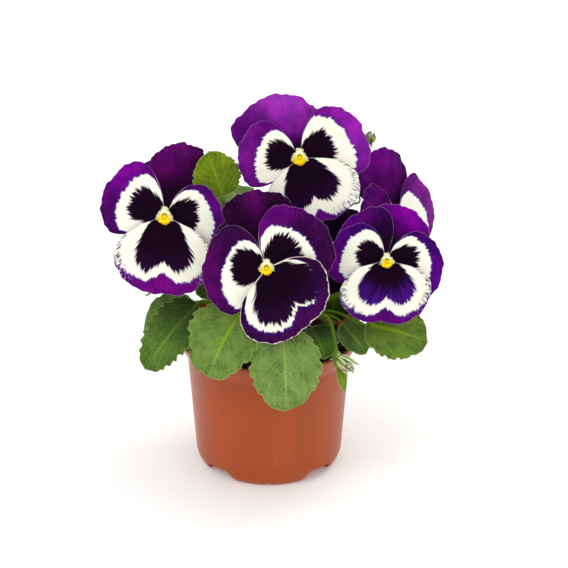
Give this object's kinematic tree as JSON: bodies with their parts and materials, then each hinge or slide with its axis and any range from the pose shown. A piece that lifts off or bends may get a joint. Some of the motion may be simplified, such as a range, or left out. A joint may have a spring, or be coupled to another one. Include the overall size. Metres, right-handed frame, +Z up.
{
  "type": "potted_pansy_planter",
  "caption": "Potted garden pansy with large white-and-purple blotched blooms on leafy shoots, in a terracotta-coloured thin plastic nursery pot",
  "frame": {"origin": "on the ground, under the middle of the whole plant's box; the pot's axis stands 2 mm to -X and 3.3 mm to -Y of it", "axes": "+Z up; -Y is the side that the blooms face; +X is to the right as the blooms are seen from the front"},
  "size_m": [0.2117, 0.1671, 0.2428],
  "materials": {
    "pot": "satin",
    "soil": "matte",
    "petal": "matte",
    "bud": "matte",
    "eye": "matte",
    "leaf": "satin"
  },
  "bodies": {
    "root": {"pot": "pot", "potting_soil": "soil", "bloom_left_petals": "petal", "bloom_left_eye": "eye", "bloom_top_petals": "petal", "bloom_top_eye": "eye", "bloom_front_petals": "petal", "bloom_front_eye": "eye", "bloom_right_petals": "petal", "bloom_right_eye": "eye", "bloom_back_right_petals": "petal", "bloom_back_right_eye": "eye", "bloom_middle_petals": "petal", "bloom_middle_eye": "eye", "bud_top_tip": "bud", "bud_hanging_tip": "bud", "shoot_left": "leaf", "shoot_top": "leaf", "shoot_front": "leaf", "shoot_right": "leaf", "shoot_back_right": "leaf", "shoot_middle": "leaf", "shoot_back": "leaf", "shoot_back_left": "leaf", "shoot_bud": "leaf"}
  },
  "joints": []
}
